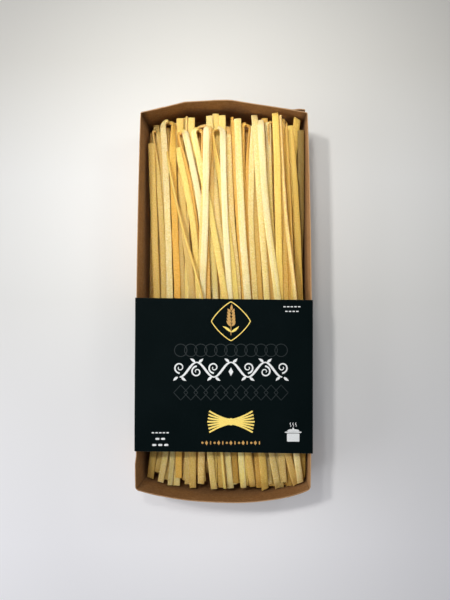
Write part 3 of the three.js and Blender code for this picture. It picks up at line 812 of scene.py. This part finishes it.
UPPER_LAYER = [
    hairpin([-35.4, -24.3, -19.5, -18.5, -18.5], [-29.6, -18.3, -13.8, -3.5, -3], [129, -137, -143.5], 5,
            over="right", flat="right", tone=(0.9, 0.8, 0.65), flour=0.2, right_tone=(0.02, 0.02, 0.6)),
    cut([-35.9, -25.8, -19.3, -17.9, -18.5], [116.6, -140.6], 5, tone=(0.35, 0.38, 0.6),
        flour=(0.1, 0.35, 0.7), shade=(1, 1, 1.1)),
    cut([33.3, 35.2, 39.4, 40.9, 43.4], [138.2, -143.8], 4.6, tone=(0.1, 0.6, 0.4), flour=(0.5, 0.2, 0.7),
        shade=(1, 0.75, 0.9)),
    cut([38.1, 40.6, 42.4, 44.3, 45.3], [143.4, -138.6], 4.9, tone=(0.42, 0.42, 0.55), flour=(0, 0.1, 0.7),
        tip_skew=1.2, lift=(9, 20)),
    cut([22, 20, 23.4, 33.5, 34.5], [133.5, -141], 4.3, roll=-10, tone=(0.15, 0.45, 0.5), flour=0.8),
    cut([46.3, 49.9, 52.5, 55, 56], [131.2, -139], 4.6, roll=(72, 40), tone=0.45, flour=0.1),
    cut([22.7, 27.8, 32.4, 37.7, 41.3], [143.7, -146], 5, tone=(0.25, 0.3, 0.45), flour=(1, 0.8, 0.8),
        skew=2.9),
    cut([2.5, 4.8, 10.4, 7.8, 8.6], [127.4, -139.5], 4.8, tone=(0.5, 0.5, 0.8), flour=(0.9, 0.9, 0),
        shade=(1, 0.95, 0.75)),
    cut([9.8, 12.7, 17.5, 29.3, 31.2], [139.2, -145], 5.5, tone=(0.2, 0.08, 0.55), flour=(0.5, 0.6, 0.1),
        skew=2.9),
    cut([27.1, 31.9, 40.4, 50.5, 54.5], [138.5, -140.5], 5.2, roll=-4, tone=(0.05, 0.15, 0.65), skew=2),
    cut([41.6, 46, 53.5, 55.9, 58], [139.2, -138.6], 5, roll=(72, 0), tone=(0.6, 0.35, 0.15), flour=0.8,
        skew=1.5, shade=(1, 1, 1.2)),
    cut([-10.5, -10.5, -7.3, 2.8, 4.4], [125, -144], 5, tone=(0.85, 0.1, 0.15), shade=(1, 1, 1.3)),
]
TOP_LAYER = [
    hairpin([-47.6, -44.5, -42.8, -47.4, -50.3], [-39.2, -39, -36.8, -35.7, -35.9], [138.4, -140.7, -136.7],
            4.9, flat="left", tone=(0.15, 0.15, 0.35), flour=0.9, right_tone=(0.6, 0.95, 0.72),
            right_flour=0, shade=(1, 1, 1.22)),
    hairpin([-9.2, 0.5, 8.6, 15.5, 16], [-1.3, 0.2, 4.1, 13.2, 14.4], [130.3, -142, -143.3], 4.6,
            over="right", flat="right", twist_run=60, tone=0.4, flour=0.1, right_tone=(0.03, 0.03, 0.15),
            shade=(1, 1, 1.2)),
    hairpin([-23.3, -11.1, 0.4, 19.4, 21.5], [-16.2, -15, -13, -8, -8], [130, -142.8, -139], 4.8,
            flat="left", tone=(0.15, 0.5, 0.65), flour=0.25, right_tone=(0.9, 0.9, 0.5)),
    hairpin([-13.4, -14.3, -16.6, -10.1, -8.2], [-9.7, -16, -17, -10, -8], [130.3, -143.5, -144], 4.8,
            flat="left", tone=(0.05, 0.05, 0.45), flour=0.6, right_tone=(0.7, 0.25, 0.5)),
    cut([-44.3, -35.2, -16.8, -1.1, 0.2], [115.3, -143], 3.8, roll=(70, 60), tone=0.3, flour=0.1),
]

# Hairpins deeper in the heap, whose bends show behind the strands above them.
DEEP_HAIRPINS = [
    hairpin([33, 32, 30, 33, 34], [40, 41, 42, 43, 44], [139, -136, -138], 4.8, tone=0.7),
    hairpin([-27, -28, -30, -32, -33], [-19, -19.5, -20, -23, -24], [134, -134, -136], 4.8, tone=0.8),
]


def strand_x(xs, ends, y):
    """x along a strand: one smooth curve through its five given points."""
    knots = np.array([ends[1], LOWER_Y, MIDDLE_Y, UPPER_Y, ends[0]])
    x = np.array(xs[::-1], float)
    run = np.diff(knots)
    slope = np.diff(x) / run
    inner = (slope[:-1] * run[1:] + slope[1:] * run[:-1]) / (run[:-1] + run[1:])
    tangent = np.array([1.5 * slope[0] - 0.5 * inner[0], *inner, 1.5 * slope[-1] - 0.5 * inner[-1]])
    i = np.clip(np.searchsorted(knots, y) - 1, 0, 3)
    t = (y - knots[i]) / run[i]
    from_low = x[i] + (t * run[i] * tangent[i] + 2 * t * x[i])
    from_high = x[i + 1] * (3 - 2 * t) - (1 - t) * run[i] * tangent[i + 1]
    return from_low * (1 - t) ** 2 + from_high * t ** 2


def inside_walls(x, y, half_width):
    limit = tray_half_width(y, 0.5) - BOARD - GAP - half_width - SIDE_CLEARANCE
    return np.clip(x, -limit, limit)


def end_inside_wall(y, x, width, skew):
    side = np.sign(y)
    edges = np.array([-0.5, 0.5])
    reach = tray_half_length(x + edges * width, side) - edges * side * skew
    return side * min(abs(y), reach.min() - BOARD - GAP - END_CLEARANCE)


def along_strand(amount, at, y):
    """One amount all along a strand, or one for each y in at, from the tip down."""
    amounts = amount if isinstance(amount, tuple) else (amount,) * len(at)
    return np.interp(y, at[::-1], amounts[::-1])


def cut_stations(strand):
    """x, y and roll along a cut strand, from its -Y end to its +Y end."""
    x, ends, width = strand["x"], strand["y"], strand["width"]
    bottom = end_inside_wall(ends[1], x[4], width, strand.get("skew", CUT_SKEW))
    top = end_inside_wall(ends[0], x[0], width, strand.get("tip_skew", CUT_SKEW))
    y = np.linspace(bottom, top, LEG_STATIONS + 1)
    x = inside_walls(strand_x(x, [top, bottom], y), y, width / 2)
    roll = np.radians(along_strand(strand.get("roll", 0), ROLL_Y, y))
    return np.c_[x, y, roll]


def leg_stations(strand, leg):
    """x, y and roll up one leg of a hairpin and round half of its bend."""
    left, right, width = strand["left"], strand["right"], strand["width"]
    top, *ends = strand["y"]
    radius = (right[0] - left[0]) / 2
    centre_x = (right[0] + left[0]) / 2
    rise = strand.get("rise", radius)
    spring_y = top - rise
    bottom = end_inside_wall(ends[leg == "right"], strand[leg][4], width, CUT_SKEW)
    y = np.linspace(bottom, spring_y, LEG_STATIONS + 1)
    is_flat = strand.get("flat") == leg
    run = FLAT_RUN if is_flat else strand.get("twist_run", TWIST_RUN)
    spring_roll = BEND_ROLL * (FLAT_SHARE if is_flat else 1)
    x = inside_walls(strand_x(strand[leg], [spring_y, bottom], y), y, width / 2)
    straight = np.c_[x, y, spring_roll * smooth((y - spring_y + run) / run)]
    angle = np.linspace(0, pi / 2, BEND_STATIONS + 1)[1:]
    power = 2 / strand.get("square", 2)
    side = -1 if leg == "left" else 1
    bend_x = centre_x + side * radius * np.cos(angle) ** power * (angle < 1.57)
    bend_y = spring_y + rise * np.sin(angle) ** power
    middle_roll = BEND_ROLL * (1 + FLAT_SHARE) / 2
    bend_roll = lerp(spring_roll, middle_roll, smooth(angle / (pi / 2)))
    return np.concatenate([straight, np.c_[bend_x, bend_y, bend_roll]])


# The heap's height so far, on a grid over the tray's floor.
CELL_X, CELL_Y = 1, 3
GRID_X, GRID_Y = 130, 100
NO_LIFT = (0, 0)


def heap_top(x):
    run = np.where(x < HEAP_CROWN_X, LEFT_RUN, RIGHT_RUN)
    out = np.minimum(1, np.abs(x - HEAP_CROWN_X) / run)
    return lerp(HEAP_CROWN_Z, HEAP_SIDE_Z, out ** 2.4)


def new_grid(depth):
    x = (np.arange(GRID_X) + 0.5 - GRID_X / 2) * CELL_X
    return np.tile(heap_top(x) - depth, (GRID_Y, 1))


def half_height(roll, width, thickness):
    return width / 2 * np.abs(np.sin(roll)) + thickness / 2 * np.abs(np.cos(roll))


def cells_under(stations, width, thickness):
    across = np.maximum(width * np.abs(np.cos(stations[:, 2])) / 2, thickness / 2)
    first = np.floor((stations[:, 0] - across) / CELL_X + GRID_X / 2).astype(int)
    last = np.floor((stations[:, 0] + across) / CELL_X + GRID_X / 2).astype(int)
    row = np.floor(stations[:, 1] / CELL_Y + GRID_Y / 2).astype(int)
    return row, first, last + 1


def lay_strand(grid, stations, width, thickness, lift, pinned=None):
    """Rests a strand on what is highest under it. Returns z along it, and where its last point rests."""
    row, first, last = cells_under(stations, width, thickness)
    support = np.array([grid[r, a:b].max() for r, a, b in zip(row, first, last)])
    support += lift[0] * smooth((stations[:, 1] - lift[1]) / (stations[-1, 1] - lift[1]))
    base = support.copy()
    if pinned is not None:
        base[-1] = pinned
    for _ in range(SETTLING_PASSES):
        for i in range(1, len(base) - 1):
            base[i] = max(support[i], (base[i - 1] + base[i + 1]) / 2)
    half = half_height(stations[:, 2], width, thickness)
    cover = lerp(thickness, 2 * half, TILTED_COVER) - EMBED
    for r, a, b, top in zip(row, first, last, base + cover):
        grid[r, a:b] = np.maximum(grid[r, a:b], top)
    return np.minimum(base + half - EMBED, HEAP_LIMIT_Z - half), base[-1]


def section(width, thickness, full):
    """A strand's cross-section: across and up, as shares of its width and thickness, and its edges."""
    cu, cv = CHAMFER / width, CHAMFER / thickness
    across = np.array([-0.5, -0.5 + cu, *([-0.17, 0.17] if full else []), 0.5 - cu, 0.5])
    edge = (np.abs(across) == 0.5).astype(float)
    up = 0.5 - cv * edge
    return np.append(across, across[::-1]), np.append(up, -up), np.append(edge, edge)


def look_along(strand, path, edge):
    """Tone, flour and edge, and painted shading, with painted shade at the -Y ends. A hairpin's right leg
    may have looks of its own.
    """
    y = path[:, 1]
    done = np.arange(len(y)) / (len(y) - 1)
    is_left = smooth((done - 0.47) / 0.06)  # the looks change over at a hairpin's bend
    looks = []
    for key, plain in (("tone", 0.5), ("flour", 0.4), ("shade", 1)):
        left = strand.get(key, plain)
        right = strand.get("right_" + key, left)
        look = lerp(along_strand(right, LOOK_Y, y), along_strand(left, LOOK_Y, y), is_left)
        looks.append(look[:, None])
    tone, flour, shade = looks
    # painted shade: the strands' -Y ends are darker
    shade = shade * lerp(1, LOWER_END_PAINTED_SHADE, smooth((SHADED_Y - y) / SHADE_RUN))[:, None]
    return {
        "look": np.stack(np.broadcast_arrays(tone, flour, edge[None]), -1),
        "shade": np.repeat(shade[:, None], 3, 2),
    }


def ribbon(surface, path, strand, thickness, rng, full):
    """A flat strand along path rows of x, y, z and roll, slightly uneven as cut dough is."""
    at, roll = path[:, :3], path[:, 3].copy()
    width = strand["width"]
    travel = unit(np.gradient(at, axis=0))
    along = np.concatenate([[0], np.cumsum(np.linalg.norm(np.diff(at, axis=0), axis=1))])
    roll += radians(4) * wobble(rng, along, 45)
    right = unit(np.c_[travel[:, 1], -travel[:, 0], 0 * roll])
    side = right * np.cos(roll)[:, None]
    side[:, 2] += np.sin(roll)
    normal = unit(np.cross(side, travel))
    u, v, edge = section(width, thickness, full)
    across = width * (u[None] * (1 + 0.035 * wobble(rng, along, 22))[:, None])
    across += np.where(u < 0, 0.1 * wobble(rng, along, 9)[:, None], 0.1 * wobble(rng, along, 9)[:, None])
    cup = rng.uniform(-0.16, 0.22) * (1 - 4 * u * u)
    up = thickness * v[None] * (1 + 0.05 * wobble(rng, along, 30))[:, None] + cup[None]
    up += 0.035 * np.stack([wobble(rng, along, 5) for _ in u], 1)
    lead = np.zeros_like(up)
    for end, key in ((0, "skew"), (-1, "tip_skew")):
        slant = rng.uniform(-CUT_SKEW, CUT_SKEW)
        lead[end] = strand.get(key, slant) * u + rng.normal(0, 0.08, len(u))
    rings = (at[:, None] + side[:, None] * across[..., None] + normal[:, None] * up[..., None]
             + travel[:, None] * lead[..., None])
    seed = rng.uniform(0, 50)
    lay = np.stack(np.broadcast_arrays(across + 20 * np.sign(v)[None], along[:, None], seed), -1)
    surface.tube(rings, lay=lay, **look_along(strand, path, edge))


def add_strand(surface, grid, strand, rng, full=True):
    """Lays one strand on the heap. A hairpin's lower leg goes first and its upper leg over it."""
    thickness = STRAND_THICKNESS + THICKNESS_SPREAD * (rng.random() - 0.5)
    if "x" in strand:
        stations = cut_stations(strand)
        z, _ = lay_strand(grid, stations, strand["width"], thickness, strand.get("lift", NO_LIFT))
        path = np.c_[stations[:, :2], z, stations[:, 2]]
    else:
        legs = {}
        bend_height = None
        for leg in (("left", "right") if strand.get("over") == "right" else ("right", "left")):
            stations = leg_stations(strand, leg)
            z, bend_height = lay_strand(grid, stations, strand["width"], thickness, NO_LIFT, bend_height)
            legs[leg] = np.c_[stations[:, :2], z, stations[:, 2]]
        path = np.concatenate([legs["right"], legs["left"][-2::-1]])
    ribbon(surface, path, strand, thickness, rng, full)


def make_top_strands(material):
    strands = Surface()
    grid = new_grid(TOP_DEPTH)
    rng = np.random.default_rng(TOP_SEED)
    for layer in (BOTTOM_LAYER, LOWER_LAYER, UPPER_LAYER, TOP_LAYER):
        for strand in layer:
            add_strand(strands, grid, strand, rng)
    return build_mesh("pasta_top_strands", strands, material)


def make_inner_strands(material):
    """The strands between the core and those on top, laid where the heap is lowest."""
    strands = Surface()
    grid = new_grid(CORE_DEPTH)
    ceiling = new_grid(TOP_DEPTH)
    rng = np.random.default_rng(INNER_SEED)
    within_reach = range(GRID_X // 2 - INNER_REACH, GRID_X // 2 + INNER_REACH)
    for _ in range(MOST_INNER_STRANDS):
        room = (ceiling - grid).min(0)
        room = [room[i - 3:i + 4].min() for i in within_reach]
        if max(room) < LEAST_ROOM:
            break
        middle = np.argmax(room + rng.normal(0, 0.3, len(room))) - INNER_REACH
        lean, bow = rng.normal(0, 1.3), rng.normal(0, 0.8)
        strand = dict(
            x=[middle + sway for sway in (lean, (lean + bow) / 2, bow, -lean, -1.1 * lean)],
            y=[rng.uniform(128, 138), -rng.uniform(128, 137)],
            width=rng.uniform(4.5, 5.5),
            roll=rng.uniform(-10, 10),
            # deep golden tones and a darker colour: painted shade for strands deep in the heap
            tone=rng.uniform(0.7, 1),
            shade=0.8,
        )
        add_strand(strands, grid, strand, rng, full=False)
    for strand in DEEP_HAIRPINS:
        add_strand(strands, grid, strand, rng, full=False)
    return build_mesh("pasta_inner_strands", strands, material)


def make_core(material):
    """The strands deep inside, which no gap lets show, as one block, coloured dark as painted shade."""
    core = Surface()
    x = np.linspace(CORE_LEFT, CORE_RIGHT, 24)
    top = np.c_[x, heap_top(x) - CORE_DEPTH - CORE_CLEARANCE]
    bottom = np.c_[x[::-1], np.full_like(x, CORE_BOTTOM_Z)]
    outline = np.concatenate([top, bottom])
    core.tube([np.insert(outline, 1, y, axis=1) for y in (-CORE_END_Y, 0, CORE_END_Y)])
    return build_mesh("pasta_core", core, material)


# ---- Camera, floor and light, in metres

CAMERA_AT = (0.014, -0.0066, 0.356)
FLOOR_REACH = 3
FLOOR_DROP = 0.0001  # the floor is just below what stands on it


def make_camera():
    """It looks straight down on the pack."""
    camera = bpy.data.cameras.new("camera")
    camera.lens = 26
    camera.sensor_width = 36
    camera.shift_x = -0.03
    camera.shift_y = 0.01667
    camera.clip_start = 0.01
    camera.clip_end = 10
    holder = add_object("camera", camera)
    holder.location = CAMERA_AT
    bpy.context.scene.camera = holder


def make_floor():
    """A pale floor with painted light and shade: lighter and cooler towards -Y, a little greyer towards +Y.
    """
    n = Nodes("floor_painted_light")
    y = n.parts(n.position())[1]
    # painted light and shade: lighter and cooler towards -Y, greyer towards +Y
    colour = n.mix(n.span(y, -0.2, 0), (0.92, 0.92, 0.96), (0.75, 0.75, 0.745))
    colour = n.mix(n.span(y, 0.1, 0.2), colour, (0.69, 0.68, 0.65))
    n.finish(Base_Color=colour, Roughness=0.9, Specular_IOR_Level=0.1)
    mesh = bpy.data.meshes.new("floor")
    signs = ((-1, -1, 0), (1, -1, 0), (1, 1, 0), (-1, 1, 0))
    corners = (FLOOR_REACH * np.array(signs)).tolist()
    mesh.from_pydata(corners, [], [(0, 1, 2, 3)])
    floor = add_object("floor", mesh)
    floor.location.z = -FLOOR_DROP
    mesh.materials.append(n.material)


def area_light(name, at, aim, size, power, colour, spread):
    """A rectangular light, in metres and watts, that fades away from where it is aimed."""
    light = bpy.data.lights.new(name, "AREA")
    light.shape = "RECTANGLE"
    light.size, light.size_y = size
    light.energy = power
    light.color = colour
    light.spread = radians(spread)
    holder = add_object(name, light)
    holder.location = at
    holder.rotation_euler = (Vector(aim) - Vector(at)).to_track_quat("-Z", "Y").to_euler()


def make_light():
    warm = (1, 0.985, 0.94)
    cool = (0.98, 0.985, 1)
    area_light("key", (-0.3, 0.22, 0.6), (0, 0.04, 0.02), (0.06, 0.06), 0.29, warm, 70)
    area_light("low_key", (-0.05, 0.045, 0.3), (0, -0.125, 0.025), (0.03, 0.03), 0.016, warm, 45)
    area_light("overhead", (-0.04, 0.2, 0.4), (0, 0.13, 0.02), (0.06, 0.06), 0.082, warm, 60)
    area_light("side", (-0.5, -0.1, 0.5), (0, 0, 0), (0.25, 0.25), 0.16, warm, 170)
    area_light("bounce", (0.32, 0.26, 0.36), (-0.05, 0.1, 0.02), (0.1, 0.1), 0.07, warm, 80)
    area_light("fill", (-0.75, -0.18, 0.3), (-0.1, -0.05, 0), (0.8, 0.4), 3.4, cool, 170)
    world = bpy.data.worlds.new("studio")
    world.use_nodes = True
    background = world.node_tree.nodes["Background"]
    background.inputs["Color"].default_value = (0.98, 0.985, 1, 1)
    background.inputs["Strength"].default_value = 0.35
    bpy.context.scene.world = world
    bpy.context.scene.view_settings.view_transform = "Standard"


# ---- The pack

def place(piece, slot, *nodes):
    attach(piece, "root")
    if nodes:
        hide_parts(*nodes)


make_camera()
make_floor()
make_light()

board = board_material()
place(make_tray(board), "kraft_board", "tray")
place(make_tabs(board), "kraft_board", "tray")
place(make_sleeve(paper_material()), "black_paper", "sleeve")
dough = pasta_material()
place(make_core(core_material()), "pasta", "pasta")
place(make_inner_strands(dough), "pasta", "pasta")
place(make_top_strands(dough), "pasta", "pasta")

inks = {
    "print_white": (print_white, (0.8, 0.81, 0.82), (0.66, 0.68, 0.7), 0.5),
    "print_gold": (print_gold, (0.6, 0.36, 0.12), (0.5, 0.28, 0.08), 0.45),
    "print_yellow": (print_yellow, (0.9, 0.74, 0.2), (0.86, 0.62, 0.14), 0.5),
    "print_grey": (print_grey, (0.012, 0.018, 0.02), (0.01, 0.015, 0.017), 0.5),
}
for name, (draw, light, dark, roughness) in inks.items():
    place(build_mesh(name, draw(), ink_material(name, light, dark, roughness)), None)

bpy.context.view_layer.update()
